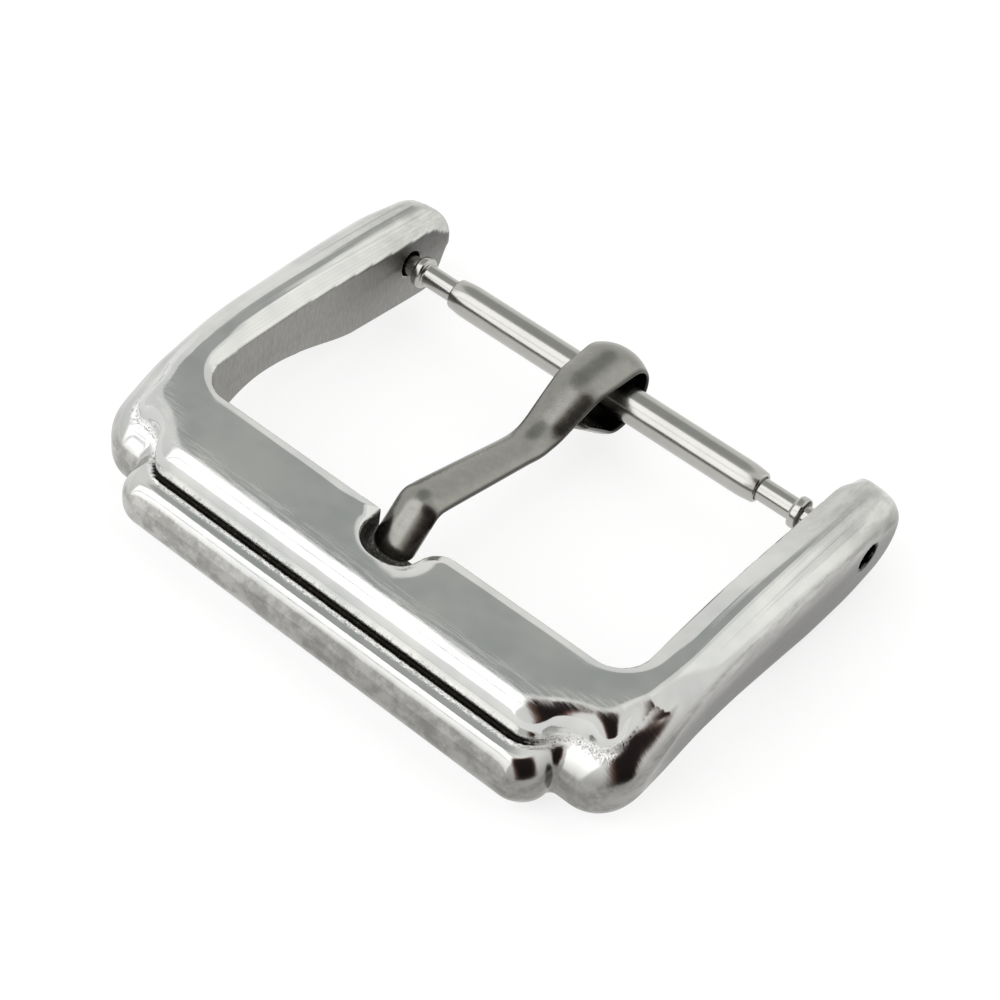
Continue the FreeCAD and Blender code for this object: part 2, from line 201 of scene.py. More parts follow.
def rail_field(ax, y, z, top):
    """The lower tier with its arms, whose outer wall leans in and has rounded edges."""
    lobes = lobe_share(ax)
    end = trim(y - LUG_END, BASE - z, 1.7)
    rail = trim(end, z - top, 1.3)
    under = np.interp(y, (-15.0, -13.9, -12.3, -9.0, -3.0), (0.9, 0.6, 1.3, 1.2, 0.5))
    over = blend(0.2, blend(0.85, 0.45, arm_share(y)), lobes)
    edge = blend(under, over, ramp(-1.2, -0.4, z))
    edge = blend(edge, 0.8, ramp(-1.0, 1.5, y))
    draft = 0.5 * np.maximum(z + 0.5, 0) * (1 - lobes)
    return trim(rail, lower_outline(ax, y) + draft, edge)


def plateau_field(y, z, upper, crown):
    """The upper tier, with a rounded brow, from inside the lower tier up."""
    plateau = trim(z - crown, y - LUG_END + 0.1, 1.15)
    plateau = trim(plateau, upper, blend(0.8, 0.7, arm_share(y)))
    return np.maximum(plateau, -0.4 - z)


def from_groove(z, upper, top):
    """Distance to the middle of the groove between the two tiers."""
    return np.hypot(upper - 0.06, z - top - 0.02)


def crease_field(ax, y, z, upper, top):
    """The groove between the two tiers, which closes up towards the arms."""
    groove = from_groove(z, upper, top) - 0.075 + 0.3 * ramp(-13.3, -12.0, y)
    return groove + 0.04 * lobe_share(ax)


def bevel_field(x, y, z, mouth, crown):
    """The slope round the opening, which is narrow beside the tongue's rest."""
    side = arm_share(y)
    narrowing = 0.45 * ramp(-2.4, -1.0, x) * (1 - ramp(0.3, 1.4, x)) * (1 - side)
    width = blend(0.6, 0.38, side) - narrowing
    return (z - crown) * BEVEL_COS + (width - mouth) * BEVEL_SIN


def frame_field(x, y, z):
    """Roughly the distance to the frame's surface, negative inside the metal."""
    ax = np.abs(x)
    upper = upper_outline(ax, y, z)
    top = rail_top(ax, y, upper)
    crown = upper_height(y)
    fillet = blend(0.08, 0.45, ramp(-13.5, -11.8, y))
    body = join(rail_field(ax, y, z, top), plateau_field(y, z, upper, crown), fillet)
    body = trim(body, -crease_field(ax, y, z, upper, top), 0.05)
    body = trim(body, arch(ax, y, z), 0.2)
    mouth = mouth_field(x, y)
    body = trim(body, bevel_field(x, y, z, mouth, crown), 0.12)
    rounding = blend(0.1, 0.8, ramp(0.9, 2.2, y))
    below = 0.5 * (1 - ramp(-1.7, -1.0, z)) * (1 - arm_share(y))
    body = trim(body, -opening_field(ax, y), np.maximum(rounding, below))
    body = trim(body, -rest_cut(mouth, z), 0.1)
    return trim(body, BORE_RADIUS - np.hypot(y, z), 0.06)


# ---------------------------------------------------------------- meshing


def surface_net(field, low, step):
    """Vertices and quads of the zero surface of a sampled field."""
    inside = field < 0
    shape = [n - 1 for n in field.shape]
    corners = [(i, j, k) for i in (0, 1) for j in (0, 1) for k in (0, 1)]
    count = np.zeros(shape, np.int8)
    for i, j, k in corners:
        count += inside[i:i + shape[0], j:j + shape[1], k:k + shape[2]]
    cells = np.argwhere((count > 0) & (count < 8))
    index = np.full(shape, -1, np.int64)
    index[tuple(cells.T)] = np.arange(len(cells))
    total = np.zeros((len(cells), 3))
    hits = np.zeros(len(cells))
    for a in corners:
        for axis in range(3):
            if a[axis] == 1:
                continue
            b = tuple(v + (n == axis) for n, v in enumerate(a))
            fa = field[tuple((cells + a).T)]
            fb = field[tuple((cells + b).T)]
            crossed = (fa < 0) != (fb < 0)
            share = np.where(crossed, fa / np.where(crossed, fa - fb, 1), 0)
            point = np.array(a, float) + share[:, None] * (np.array(b) - np.array(a))
            total += np.where(crossed[:, None], point, 0)
            hits += crossed
    points = np.array(low) + step * (cells + total / hits[:, None])
    quads = []
    for axis in range(3):
        one, two = (axis + 1) % 3, (axis + 2) % 3
        first = [slice(None)] * 3
        second = [slice(None)] * 3
        first[axis] = slice(0, -1)
        second[axis] = slice(1, None)
        start = inside[tuple(first)]
        crossed = np.argwhere(start != inside[tuple(second)])
        crossed = crossed[(crossed[:, one] > 0) & (crossed[:, two] > 0)]
        crossed = crossed[(crossed[:, one] < shape[one]) & (crossed[:, two] < shape[two])]
        back_one = np.eye(3, dtype=int)[one]
        back_two = np.eye(3, dtype=int)[two]
        ring = [index[tuple((crossed - shift).T)]
                for shift in (0 * back_one, back_one, back_one + back_two, back_two)]
        ring = np.stack(ring, 1)
        outward = start[tuple(crossed.T)]
        quads.append(np.where(outward[:, None], ring, ring[:, ::-1]))
    return points, np.concatenate(quads)


def slope(field, points, reach=0.004):
    """Gradient of a field at some points."""
    parts = []
    for axis in range(3):
        shift = np.zeros(3)
        shift[axis] = reach
        ahead = field(*(points + shift).T)
        behind = field(*(points - shift).T)
        parts.append((ahead - behind) / (2 * reach))
    return np.stack(parts, 1)


def settle(field, points, rounds=3):
    """Move points onto the field's zero surface."""
    for _ in range(rounds):
        steep = slope(field, points)
        share = field(*points.T) / np.maximum((steep ** 2).sum(1), 0.05)
        points = points - np.clip(share, -0.05, 0.05)[:, None] * steep
    return points


def place(points):
    """Millimetres about the bar's axis turned into the frame's metres."""
    return np.asarray(points) * MM + np.array(AXIS)


def make_mesh(name, points, faces, normals=None, crease=None):
    """A smooth mesh object from points in millimetres."""
    mesh = bpy.data.meshes.new(name)
    mesh.from_pydata(place(points).tolist(), [], [list(map(int, f)) for f in faces])
    mesh.polygons.foreach_set("use_smooth", [True] * len(mesh.polygons))
    if normals is not None:
        mesh.normals_split_custom_set_from_vertices(normals.tolist())
    if crease is not None:
        mesh.set_sharp_from_angle(angle=math.radians(crease))
    mesh.update()
    piece = bpy.data.objects.new(name, mesh)
    bpy.context.scene.collection.objects.link(piece)
    return piece


def build_frame():
    """The frame's mesh, sampled from its field one slice at a time."""
    step = MESH_CELL
    low = np.array(MESH_LOW)
    counts = np.ceil((np.array(MESH_HIGH) - low) / step).astype(int) + 1
    axes = [low[n] + step * np.arange(counts[n]) for n in range(3)]
    grid = np.meshgrid(*axes, indexing="ij", sparse=True)
    field = np.empty(counts)
    for i in range(counts[0]):
        x, y, z = np.broadcast_arrays(np.full((1, 1), axes[0][i]), grid[1][0], grid[2][0])
        field[i] = frame_field(x, y, z)
    points, quads = surface_net(field, low, step)
    points = settle(frame_field, points)
    steep = slope(frame_field, points)
    normals = steep / np.linalg.norm(steep, axis=1)[:, None]
    piece = make_mesh("frame_body", points, quads, normals)
    mark_finishes(piece, points, normals)
    return piece


def mark_finishes(piece, points, normals):
    """Store where the metal's finish differs (cast, brushed, tumbled, worn or lined), and where shade
    is painted: the groove, the tongue's rest, the bores, the inner faces and low on the outer walls.
    """
    x, y, z = points.T
    ax = np.abs(x)
    upper = upper_outline(ax, y, z)
    top = rail_top(ax, y, upper)
    fade = 1 - ramp(-13.0, -12.2, y)
    above = np.abs(z - top)
    ledge = ramp(-0.05, 0.05, upper) * (1 - ramp(0.15, 0.35, upper)) * (1 - ramp(0.1, 0.25, above))
    store(piece, "ledge", ledge * fade)
    # the groove's dark colour is painted shade, weaker towards the outer corners
    groove = 1 - ramp(0.08, 0.15, from_groove(z, upper, top))
    store(piece, "crease", groove * fade * (1 - 0.6 * ramp(7.2, 8.4, ax)))
    # the tongue's rest: rough cast, with its dark colour partly painted shade in the hollow
    rest = np.abs(rest_cut(mouth_field(x, y), z))
    pocket = (1 - ramp(0.03, 0.12, rest)) * (1 - ramp(1.35, 1.5, z)) * (y < INNER - 0.05)
    store(piece, "pocket", pocket)
    # the bores' walls are painted black as shade inside the holes
    bore = (1 - ramp(0.04, 0.1, np.abs(np.hypot(y, z) - BORE_RADIUS))) * (np.abs(normals[:, 0]) < 0.6)
    store(piece, "bore", bore)
    # inner faces: brushed grain, darkened partly as painted shade
    facing = np.abs(normals[:, 0]) * (ax < HALF_STRAP + 0.1) + np.abs(normals[:, 1]) * (ax < 8.9)
    inside = (np.abs(opening_field(ax, y)) < 0.06) * ramp(0.7, 0.95, facing)
    store(piece, "inner", inside)
    # painted shade on the inner faces, deeper towards the lugs and higher up
    store(piece, "lug_shade", inside * 0.75 * ramp(-5.5, 0.0, y) * ramp(-1.6, 1.2, z))
    wall = (1 - ramp(0.4, 0.65, np.abs(normals[:, 2]))) * (lower_outline(ax, y) > -0.5)
    tips = ramp(-4.0, 1.0, y) * 0.6
    store(piece, "tumbled", np.maximum(wall, tips) * (1 - inside))
    front = 1 - ramp(-12.5, -10.5, y)
    store(piece, "front", front)
    # painted shade: the outer walls grow darker towards the bottom, more on the right and less on the
    # front bar
    outer = ramp(-0.6, -0.1, lower_outline(ax, y))
    shaded = blend(0.4, 1.0, ramp(-9.0, 3.0, x)) * (1 - 0.5 * front)
    store(piece, "low", outer * (1 - ramp(-0.2, 1.6, z)) * shaded)
    store(piece, "track", upper)
    store(piece, "arm", ramp(-10.0, -7.5, y))
    store(piece, "worn", ramp(-1.5, -0.8, upper) * (1 - ramp(-0.5, -0.2, upper)) * front)


def store(piece, name, values):
    """Keep one number for each vertex, which a material can read by name."""
    layer = piece.data.attributes.new(name, "FLOAT", "POINT")
    layer.data.foreach_set("value", np.asarray(values, np.float32))


# ---------------------------------------------------------------- turned and swept pieces


def lathe(name, profile, around=64):
    """Turn a closed line of (x, radius) points about the bar's axis."""
    angles = np.linspace(0, 2 * math.pi, around, endpoint=False)
    points = [(x, r * math.cos(a), r * math.sin(a)) for a in angles for x, r in profile]
    rows = len(profile)
    faces = []
    for i in range(around):
        near, far = i * rows, (i + 1) % around * rows
        for j in range(rows):
            following = (j + 1) % rows
            faces.append((near + j, near + following, far + following, far + j))
    return make_mesh(name, points, faces, crease=35)


def arc(centre, radius, start, end, count=6):
    """Points along an arc from one angle to another, in degrees."""
    angles = np.radians(np.linspace(start, end, count))
    return [(centre[0] + radius * math.cos(a), centre[1] + radius * math.sin(a)) for a in angles]


def build_barrel():
    """The spring bar's tube, which tapers to a rolled-in lip at each end."""
    half, outside, bore, mouth = 6.825, 0.65, 0.51, 0.45
    taper, sink, turn, lip = 0.5, 0.06, 0.1, 0.06
    rim = outside - sink
    right = [(half - taper - 0.25, outside), (half - taper, outside - 0.012)]
    right += arc((half - turn, rim - turn), turn, 80, 0)
    right += arc((half - lip, mouth + lip), lip, 0, -90)
    right += [(half - 0.3, mouth), (half - 0.34, bore), (half - 1.0, bore)]
    left = [(-x, r) for x, r in reversed(right)]
    return lathe("spring_bar_tube", right + left, 96)


def build_plunger(name, side):
    """A plunger: head inside the tube, neck, flange, and the pivot that sits in the lug."""
    head_in, head_out, head, neck = 5.875, 6.475, 0.48, 0.42
    flange_in, flange_out, flange = 8.2, 8.6, 0.6
    pivot, tip, middle = 0.4, 10.3, 0.001
    fillet, rim = 0.05, 0.12
    profile = [(head_in, middle), (head_in, head - fillet), (head_in + fillet, head)]
    profile += [(head_out, head), (head_out, neck), (flange_in - fillet, neck)]
    profile += arc((flange_in - fillet, neck + fillet), fillet, -90, 0, 3)
    profile += arc((flange_in + rim, flange - rim), rim, 180, 90)
    profile += arc((flange_out - rim, flange - rim), rim, 90, 0)
    profile += [(flange_out, pivot), (tip - 0.12, pivot), (tip - 0.03, pivot - 0.09)]
    profile += [(tip, pivot - 0.15), (tip, middle)]
    if side < 0:
        profile = [(-x, r) for x, r in reversed(profile)]
    return lathe(name, profile, 72)


def build_spring_half(name, side):
    """Half of the coil spring: a wire wound from just beside the bar's middle to one plunger."""
    turns = side * np.linspace(0.02, SPRING_TURNS, SPRING_TURNS * 24 + 1)[::side]
    angles = 2 * math.pi * turns
    outward = np.stack([0 * turns, np.cos(angles), np.sin(angles)], 1)
    round_bar = np.stack([0 * turns, -np.sin(angles), np.cos(angles)], 1)
    pitch = SPRING_REACH / SPRING_TURNS
    along = np.array([pitch, 0, 0]) + 2 * math.pi * SPRING_COIL * round_bar
    across = np.cross(along / np.linalg.norm(along, axis=1)[:, None], outward)
    centres = np.array([1, 0, 0]) * pitch * turns[:, None] + SPRING_COIL * outward
    around = 8
    rings = []
    for k in range(around):
        turn = 2 * math.pi * k / around
        rings.append(centres + SPRING_WIRE * (math.cos(turn) * outward + math.sin(turn) * across))
    points = np.stack(rings, 1).reshape(-1, 3)
    last = (len(turns) - 1) * around
    faces = [tuple(range(around - 1, -1, -1)), tuple(range(last, last + around))]
    for row in range(0, last, around):
        for k in range(around):
            beside = (k + 1) % around
            faces.append((row + k, row + beside, row + around + beside, row + around + k))
    return make_mesh(name, points, faces, crease=50)


def bend_line(corners, pitch):
    """Points and directions along straights and tangent arcs through (corner, radius) pairs."""
    places, ways = [], []
    last = np.array(corners[0][0])

    def run(start, end):
        """Add a straight from one point to another, without its last point."""
        length = np.linalg.norm(end - start)
        if length < 1e-6:
            return
        way = (end - start) / length
        for share in np.linspace(0, 1, max(2, int(length / pitch) + 1))[:-1]:
            places.append(start + (end - start) * share)
            ways.append(way)

    for (before, _), (corner, radius), (after, _) in zip(corners, corners[1:], corners[2:]):
        before, corner, after = (np.array(p) for p in (before, corner, after))
        way_in = (corner - before) / np.linalg.norm(corner - before)
        way_out = (after - corner) / np.linalg.norm(after - corner)
        bend = math.acos(max(-1, min(1, way_in @ way_out)))
        trim_length = radius * math.tan(bend / 2)
        start, end = corner - way_in * trim_length, corner + way_out * trim_length
        run(last, start)
        turn = math.copysign(1, way_in[0] * way_out[1] - way_in[1] * way_out[0])
        left = np.array([-way_in[1], way_in[0]]) * turn
        centre = start + left * radius
        for share in np.linspace(0, 1, max(4, int(radius * bend / pitch) + 1))[:-1]:
            c, s = math.cos(bend * share), math.sin(bend * share) * turn
            places.append(centre - np.array([c * left[0] - s * left[1], s * left[0] + c * left[1]])
                          * radius)
            ways.append(np.array([c * way_in[0] - s * way_in[1], s * way_in[0] + c * way_in[1]]))
        last = end
    run(last, np.array(corners[-1][0]))
    places.append(np.array(corners[-1][0]))
    ways.append(ways[-1])
    return np.array(places), np.array(ways)


STRIP = 0.5  # thickness of the tongue
EYE = 1.37  # radius of its eye, at the middle of the strip
TONGUE_RING = 40  # points round the strip

# half width and crown of the strip, at distances along Y
WIDTH_PLACES = (-11.9, -10.0, -7.0, -5.2, -4.0, -2.9, -1.3, 0.2)
HALF_WIDTHS = (0.80, 0.79, 0.745, 0.715, 0.745, 0.85, 0.985, 1.05)
CROWN_PLACES = (-11.9, -10.4, -9.4, -2.5, -0.5)
CROWNS = (0.25, 0.27, 0.2, 0.18, 0.28)


def tongue_corners():
    """Middle line of the strip in side view, as in the CAD."""
    wrap = math.radians(40)
    turn_in = EYE * math.tan(wrap / 2)
    tail = 2.8
    return [
        ((-11.7, 0.38), 0), ((-10.2, 1.86), 0.6), ((-4.05, 0.22), 2.0), ((-1.77, EYE), 1.5),
        ((EYE, EYE), EYE), ((EYE, -EYE), EYE), ((-turn_in, -EYE), EYE),
        ((-turn_in - tail * math.cos(wrap), -EYE + tail * math.sin(wrap)), 0),
    ]


def tongue_section(half_width, thickness, crown):
    """Ring round the strip: flat underneath, crowned on top, with rounded edges."""
    ring = []
    for a in np.linspace(0, 2 * math.pi, TONGUE_RING, endpoint=False):
        c, s = math.cos(a), math.sin(a)
        across = half_width * math.copysign(abs(c) ** 0.7, c)
        drop = crown * (across / half_width) ** 2
        up = thickness / 2 * math.copysign(abs(s) ** 0.6, s)
        ring.append((across, up - drop * (0.5 + up / thickness)))
    return ring


def build_tongue():
    """The tongue: a section swept along its middle line, with rounded ends."""
    places, ways = bend_line(tongue_corners(), 0.09)
    reach = np.concatenate([[0], np.cumsum(np.linalg.norm(np.diff(places, axis=0), axis=1))])
    furthest = np.maximum.accumulate(places[:, 0])
    points, edges = [], []
    for (y, z), (wy, wz), along, at in zip(places, ways, reach, furthest):
        half = np.interp(at, WIDTH_PLACES, HALF_WIDTHS)
        dome = np.interp(at, CROWN_PLACES, CROWNS)
        left = min(along, (reach[-1] - along) * 2.5) / 0.5
        round_tip = math.sqrt(max(1 - (1 - min(left, 1)) ** 2, 0.01))
        half = half * (0.25 + 0.75 * round_tip)
        for across, up in tongue_section(half, STRIP * round_tip, dome * round_tip):
            points.append((across, y - up * wz, z + up * wy))
            edges.append(abs(across) / half * (at > -10.7))
    ring = TONGUE_RING
    rows = len(places)
    faces = []
    for i in range(rows - 1):
        near, far = i * ring, (i + 1) * ring
        for j in range(ring):
            following = (j + 1) % ring
            faces.append((near + j, far + j, far + following, near + following))
    faces.append(tuple(range(ring)))
    faces.append(tuple(reversed(range((rows - 1) * ring, rows * ring))))
    piece = make_mesh("tongue_strip", points, faces)
    store(piece, "edge", np.array(edges))
    # inside of the eye, painted dark as shade round the bar it wraps
    store(piece, "eye", 1 - ramp(1.16, 1.31, np.hypot(*np.array(points).T[1:])))
    return piece


# ---------------------------------------------------------------- materials


def new_material(name):
    """A new node material, with its tree and its shader."""
    material = bpy.data.materials.new(name)
    material.use_nodes = True
    return material, material.node_tree, material.node_tree.nodes["Principled BSDF"]


def noise(tree, point, scale, detail=4.0, roughness=0.6):
    """A noise texture's grey value at a point."""
    node = tree.nodes.new("ShaderNodeTexNoise")
    tree.links.new(point, node.inputs["Vector"])
    node.inputs["Scale"].default_value = scale
    node.inputs["Detail"].default_value = detail
    node.inputs["Roughness"].default_value = roughness
    return node.outputs["Fac"]


def stretched(tree, point, factors):
    """The same point with each direction scaled, to draw a texture out into grain."""
    node = tree.nodes.new("ShaderNodeVectorMath")
    node.operation = "MULTIPLY"
    tree.links.new(point, node.inputs[0])
    node.inputs[1].default_value = factors
    return node.outputs[0]


def attribute(tree, name):
    """A number that the mesh keeps for each vertex."""
    node = tree.nodes.new("ShaderNodeAttribute")
    node.attribute_name = name
    return node.outputs["Fac"]


def bump(tree, height, distance, strength=1.0, under=None):
    """A surface normal bent by a height, over another bump if there is one."""
    node = tree.nodes.new("ShaderNodeBump")
    tree.links.new(height, node.inputs["Height"])
    node.inputs["Distance"].default_value = distance
    node.inputs["Strength"].default_value = strength
    if under is not None:
        tree.links.new(under, node.inputs["Normal"])
    return node.outputs["Normal"]


def polishing_lines(tree):
    """Fine lines that follow the upper tier's outline."""
    node = tree.nodes.new("ShaderNodeTexNoise")
    node.noise_dimensions = "1D"
    tree.links.new(attribute(tree, "track"), node.inputs["W"])
    node.inputs["Scale"].default_value = 4
    node.inputs["Detail"].default_value = 3
    return node.outputs["Fac"]


def object_point(tree):
    """The place on the piece, in metres."""
    return tree.nodes.new("ShaderNodeTexCoord").outputs["Object"]


def frame_textures(tree):
    """The noises that the frame's colour, roughness and relief share."""
    point = object_point(tree)
    grit = noise(tree, point, 9000, 3, 0.7)
    uneven = calculate(tree, "ADD", attribute(tree, "crease"), calculate(tree, "SUBTRACT", grit, 0.5))
    return {
        "grit": grit,
        "ragged": smooth_share(tree, uneven, 0.35, 0.65),
        "cloud": noise(tree, point, 700, 3, 0.6),
        "haze": noise(tree, point, 260, 3, 0.7),
        "brushing": noise(tree, stretched(tree, point, (1, 9, 1.2)), 2600, 4, 0.65),
        "scratch": noise(tree, stretched(tree, point, (1.0, 14.0, 4.0)), 700, 5, 0.7),
        "peel": noise(tree, stretched(tree, point, (1, 0.35, 1)), 1400, 4, 0.7),
    }


def frame_color(tree, texture):
    """Polished grey, with each place of another finish, or of painted shade, laid over it in turn."""
    grit = texture["grit"]
    polished = mix(tree, smooth_share(tree, texture["haze"], 0.3, 0.7),
                   (0.54, 0.55, 0.54), (0.68, 0.675, 0.655))
    tumbled = mix(tree, smooth_share(tree, texture["peel"], 0.35, 0.65),
                  (0.34, 0.335, 0.315), (0.58, 0.575, 0.55))
    # brushed grain on the inner faces, whose dark colour is partly painted shade
    brushed = mix(tree, texture["brushing"], (0.16, 0.158, 0.148), (0.42, 0.415, 0.40))
    cast = mix(tree, smooth_share(tree, grit, 0.36, 0.5), (0.42, 0.41, 0.39), (0.93, 0.93, 0.92))
    # painted shade in the groove between the tiers
    crease_shade = mix(tree, smooth_share(tree, grit, 0.6, 0.85), (0.015, 0.014, 0.012), (0.3, 0.29, 0.27))
    # rough cast grit, darkened as painted shade in the tongue's rest
    hollow = mix(tree, smooth_share(tree, grit, 0.45, 0.8), (0.08, 0.078, 0.072), (0.4, 0.39, 0.37))
    layers = [
        (attribute(tree, "tumbled"), tumbled),
        # painted shade low on the outer walls
        (attribute(tree, "low"), (0.07, 0.068, 0.062)),
        (attribute(tree, "inner"), brushed),
        # painted shade on the inner faces near the lugs
        (attribute(tree, "lug_shade"), (0.05, 0.048, 0.044)),
        (attribute(tree, "ledge"), cast),
        # painted shade in the groove between the tiers
        (texture["ragged"], crease_shade),
        # the tongue's rest: rough cast, partly painted shade
        (attribute(tree, "pocket"), hollow),
        # painted shade: the bores are black
        (attribute(tree, "bore"), (0.004, 0.004, 0.004)),
    ]
    color = polished
    for share, over in layers:
        color = mix(tree, share, color, over)
    return color


def frame_roughness(tree, texture, dull):
    """Smooth where polished, rougher where worn, cast, brushed or tumbled."""
    scratched = smooth_share(tree, texture["scratch"], 0.35, 0.65)
    worn = calculate(tree, "MULTIPLY", attribute(tree, "worn"), scratched)
    layers = [
        (texture["cloud"], 0.08),
        (worn, 0.32),
        (dull, 0.36),
        (attribute(tree, "inner"), 0.3),
        (attribute(tree, "tumbled"), 0.12),
    ]
    rough = 0.06
    for share, amount in layers:
        rough = calculate(tree, "ADD", rough, calculate(tree, "MULTIPLY", share, amount))
    return rough


def frame_relief(tree, texture, dull):
    """Bumps on one another: marks, where they are, their depth in metres and their strength."""
    layers = [
        (texture["grit"], dull, 0.00006, 0.8),
        (texture["brushing"], attribute(tree, "inner"), 0.00002, 0.8),
        (texture["peel"], attribute(tree, "tumbled"), 0.000012, 0.6),
        (texture["scratch"], attribute(tree, "front"), 0.000004, 0.7),
        (polishing_lines(tree), attribute(tree, "arm"), 0.00002, 0.9),
    ]
    relief = None
    for marks, share, depth, strength in layers:
        height = calculate(tree, "MULTIPLY", marks, share)
        relief = bump(tree, height, depth, strength, relief)
    return relief


def frame_steel():
    """Mirror polished steel with rough cast places, brushed inner faces and faint scratches, and
    painted shade in its groove, hollows, bores, inner faces and low walls.
    """
    material, tree, shader = new_material("polished_steel")
    shader.inputs["Metallic"].default_value = 1
    texture = frame_textures(tree)
    unpolished = calculate(tree, "MAXIMUM", attribute(tree, "ledge"), attribute(tree, "pocket"))
    dull = calculate(tree, "MAXIMUM", unpolished, texture["ragged"])
    feed(tree, shader.inputs["Base Color"], frame_color(tree, texture))
    feed(tree, shader.inputs["Roughness"], frame_roughness(tree, texture, dull))
    feed(tree, shader.inputs["Normal"], frame_relief(tree, texture, dull))
    return material


def satin_steel():
    """Tumbled steel: half matt, with a soft mottle and small nicks."""
    material, tree, shader = new_material("satin_steel")
    shader.inputs["Metallic"].default_value = 1
    point = object_point(tree)
    mottle = noise(tree, point, 2600, 5, 0.7)
    fine = noise(tree, point, 7000, 3, 0.7)
    color = mix(tree, mottle, (0.20, 0.198, 0.18), (0.33, 0.326, 0.30))
    sheared = smooth_share(tree, attribute(tree, "edge"), 0.86, 0.99)
    color = mix(tree, sheared, color, (0.09, 0.087, 0.08))
    # painted shade inside the eye
    color = mix(tree, attribute(tree, "eye"), color, (0.03, 0.029, 0.027))
    feed(tree, shader.inputs["Base Color"], color)
    feed(tree, shader.inputs["Roughness"],
         calculate(tree, "ADD", 0.17, calculate(tree, "MULTIPLY", mottle, 0.16)))
    relief = bump(tree, mottle, 0.000008, 0.6)
    feed(tree, shader.inputs["Normal"], bump(tree, fine, 0.000003, 0.6, relief))
    return material


def turned_steel():
    """Turned bar stock: bright, with fine rings round the axis."""
    material, tree, shader = new_material("bar_steel")
    shader.inputs["Metallic"].default_value = 1
    point = object_point(tree)
    rings = noise(tree, stretched(tree, point, (30, 1, 1)), 1500, 3, 0.6)
    cloud = noise(tree, point, 800, 3, 0.6)
    feed(tree, shader.inputs["Base Color"], mix(tree, cloud, (0.40, 0.392, 0.37), (0.5, 0.49, 0.465)))
    feed(tree, shader.inputs["Roughness"],
         calculate(tree, "ADD", 0.12, calculate(tree, "MULTIPLY", rings, 0.14)))
    feed(tree, shader.inputs["Normal"], bump(tree, rings, 0.000002, 0.5))
    return material


def wire_steel():
    """Drawn spring wire: grey and half matt, with drawing marks."""
    material, tree, shader = new_material("spring_wire")
    shader.inputs["Metallic"].default_value = 1
    marks = noise(tree, object_point(tree), 5000, 3, 0.6)
    feed(tree, shader.inputs["Base Color"], mix(tree, marks, (0.36, 0.36, 0.36), (0.5, 0.5, 0.49)))
    shader.inputs["Roughness"].default_value = 0.3
    return material


def dress(piece, material):
    """Give a piece this one material."""
    piece.data.materials.clear()
    piece.data.materials.append(material)


# ---------------------------------------------------------------- stage


FLOOR_HALF = 0.6
FLOOR_GREY = (0.3, 0.3, 0.3, 1)
FLOOR_GLOW = 0.76


def build_floor():
    """A table that the buckle rests on, which glows so that it stays white."""
    half = FLOOR_HALF
    mesh = bpy.data.meshes.new("floor")
    mesh.from_pydata([(-half, -half, 0), (half, -half, 0), (half, half, 0), (-half, half, 0)],
                     [], [(0, 1, 2, 3)])
    floor = bpy.data.objects.new("floor", mesh)
    bpy.context.scene.collection.objects.link(floor)
    material, _, shader = new_material("white_table")
    shader.inputs["Base Color"].default_value = FLOOR_GREY
    shader.inputs["Roughness"].default_value = 0.7
    shader.inputs["Emission Color"].default_value = (1, 1, 1, 1)
    shader.inputs["Emission Strength"].default_value = FLOOR_GLOW
    dress(floor, material)


# the camera's lens in millimetres, its place from the bar's axis, and its three directions
LENS = 75.99
CAMERA_PLACE = (26.5753, -48.0042, 50.6028)
CAMERA_RIGHT = (0.76883264, 0.62813615, 0.1197554)
CAMERA_UP = (-0.52371565, 0.51108333, 0.68155392)
CAMERA_BACK = (0.36690367, -0.58671867, 0.72190228)


def build_camera():
    """The camera, which looks down from in front and from the right."""
    data = bpy.data.cameras.new("camera")
    data.lens = LENS
    data.sensor_width = 36
    data.clip_start = 0.001
    camera = bpy.data.objects.new("camera", data)
    turn = Matrix((CAMERA_RIGHT, CAMERA_UP, CAMERA_BACK)).transposed().to_4x4()
    at = AXIS + Vector(CAMERA_PLACE) * MM
    camera.matrix_world = Matrix.Translation(at) @ turn
    bpy.context.scene.collection.objects.link(camera)
    bpy.context.scene.camera = camera


# Ellipses on the sky, by the X and Y of the direction to them: middle, half widths, softness of
# the rim, and brightness as red, green and blue. A later one covers an earlier one.
SKY_PATCHES = [
    # lamp towards the front left, and a weaker one towards the back right
    ((-0.33, -0.60), (0.44, 0.46), 0.15, (2.0, 2.0, 2.0)),
    ((0.40, 0.65), (0.35, 0.30), 0.3, (1.25, 1.25, 1.22)),
    # grey card towards the back left, which the level faces mirror
    ((-0.35, 0.34), (0.27, 0.45), 0.12, (0.49, 0.51, 0.495)),
    # dark gap between card and lamp, and a seam across the lamp
    ((-0.36, -0.14), (0.36, 0.02), 0.5, (0.30, 0.32, 0.36)),
    ((-0.36, -0.70), (0.50, 0.018), 0.5, (0.75, 0.76, 0.80)),
    # dark card towards the front right, with a brown rim
    ((0.58, -0.36), (0.58, 0.44), 0.3, (0.16, 0.085, 0.06)),
    ((0.62, -0.34), (0.50, 0.36), 0.3, (0.02, 0.015, 0.015)),
]
SKY_WHITE = (1.0, 1.0, 0.99)


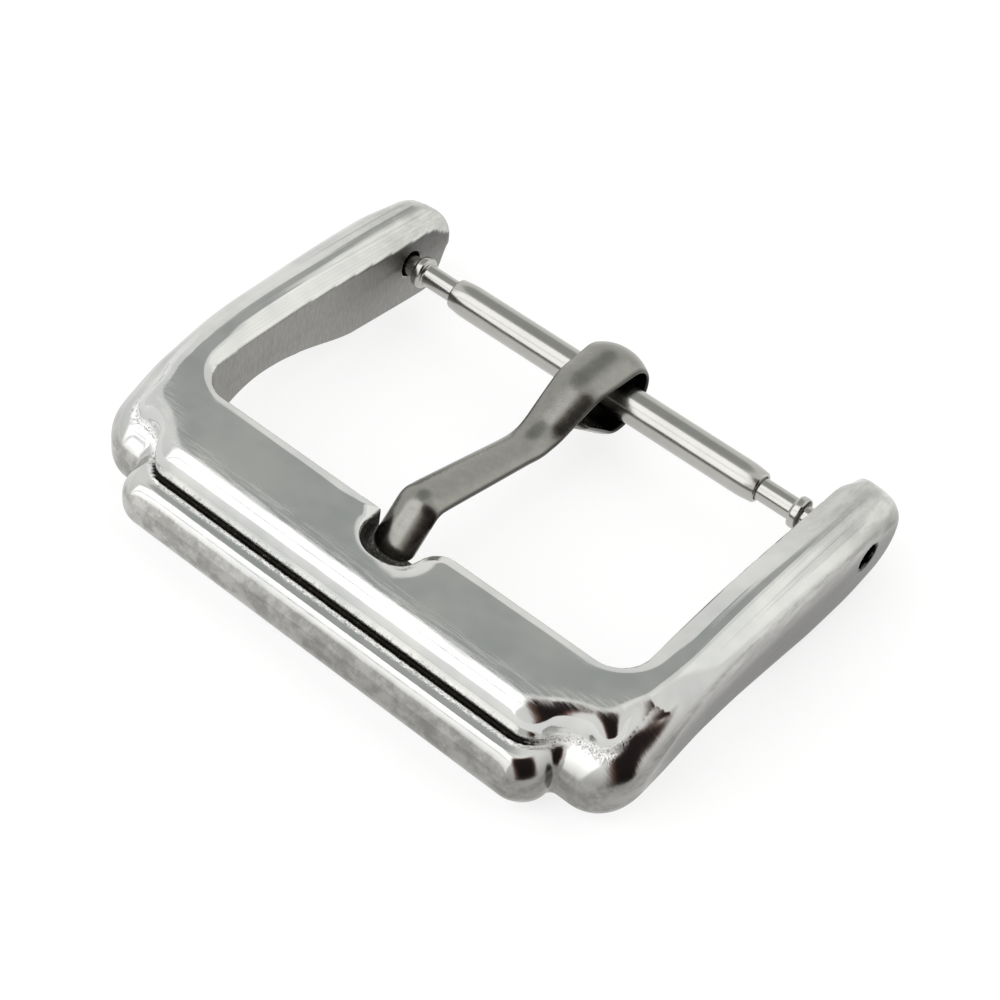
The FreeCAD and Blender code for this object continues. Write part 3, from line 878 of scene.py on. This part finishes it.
def build_world():
    """A white studio sky with lamps and cards on its upper half."""
    world = bpy.data.worlds.new("studio")
    world.use_nodes = True
    tree = world.node_tree
    way = tree.nodes.new("ShaderNodeTexCoord").outputs["Generated"]
    parts = tree.nodes.new("ShaderNodeSeparateXYZ")
    tree.links.new(way, parts.inputs[0])
    x, y, z = parts.outputs
    level = SKY_WHITE
    above = smooth_share(tree, z, -0.02, 0.02)
    for middle, half, rim, brightness in SKY_PATCHES:
        reach = calculate(tree, "ADD", squared(tree, x, middle[0], half[0]),
                          squared(tree, y, middle[1], half[1]))
        share = smooth_share(tree, reach, 1 + rim, 1 - rim)
        share = calculate(tree, "MULTIPLY", share, above)
        level = mix(tree, share, level, brightness)
    tree.links.new(level, tree.nodes["Background"].inputs["Color"])
    bpy.context.scene.world = world


def feed(tree, socket, value):
    """Link an output to a socket, or set a plain number or colour on it."""
    if isinstance(value, bpy.types.NodeSocket):
        tree.links.new(value, socket)
    elif isinstance(value, tuple) and len(socket.default_value) == 4:
        socket.default_value = (*value, 1)
    else:
        socket.default_value = value


def calculate(tree, operation, *values):
    """The result of one sum on sockets or numbers."""
    node = tree.nodes.new("ShaderNodeMath")
    node.operation = operation
    for socket, value in zip(node.inputs, values):
        feed(tree, socket, value)
    return node.outputs[0]


def squared(tree, value, middle, half):
    """How far a value is from the middle, in half widths, squared."""
    share = calculate(tree, "DIVIDE", calculate(tree, "SUBTRACT", value, middle), half)
    return calculate(tree, "MULTIPLY", share, share)


def smooth_share(tree, value, start, end):
    """0 at start and 1 at end, with a smooth step between them, in either direction."""
    node = tree.nodes.new("ShaderNodeMapRange")
    node.interpolation_type = "SMOOTHSTEP"
    feed(tree, node.inputs["Value"], value)
    node.inputs["From Min"].default_value = min(start, end)
    node.inputs["From Max"].default_value = max(start, end)
    node.inputs["To Min"].default_value = float(start > end)
    node.inputs["To Max"].default_value = float(start < end)
    return node.outputs["Result"]


def mix(tree, share, low, high):
    """A colour between two colours."""
    node = tree.nodes.new("ShaderNodeMix")
    node.data_type = "RGBA"
    feed(tree, node.inputs[0], share)
    feed(tree, node.inputs[6], low)
    feed(tree, node.inputs[7], high)
    return node.outputs[2]


def build_pieces():
    polished = frame_steel()
    satin = satin_steel()
    turned = turned_steel()
    wire = wire_steel()
    left_spring = build_spring_half("left_spring_half", -1)
    right_spring = build_spring_half("right_spring_half", 1)
    rows = [
        (build_frame(), "frame", "frame", "polished_steel", polished),
        (build_tongue(), "tongue", "tongue", "satin_steel", satin),
        (build_barrel(), "bar", "spring_bar_barrel", "bar_steel", turned),
        (build_plunger("left_plunger_pin", -1), "left_plunger", "spring_bar_left_plunger",
         "bar_steel", turned),
        (build_plunger("right_plunger_pin", 1), "right_plunger", "spring_bar_right_plunger",
         "bar_steel", turned),
        (left_spring, "bar", "spring_bar_spring", "spring_wire", wire),
        (right_spring, "bar", "spring_bar_spring", "spring_wire", wire),
    ]
    for piece, body, node, slot, material in rows:
        dress(piece, material)
        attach(piece, body)
        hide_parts(node)
    for half, joint in ((left_spring, "left_plunger_travel"), (right_spring, "right_plunger_travel")):
        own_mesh(half)


def main():
    """Build the buckle and its studio."""
    build_pieces()
    build_floor()
    build_camera()
    build_world()
    bpy.context.scene.view_settings.view_transform = "Standard"


main()
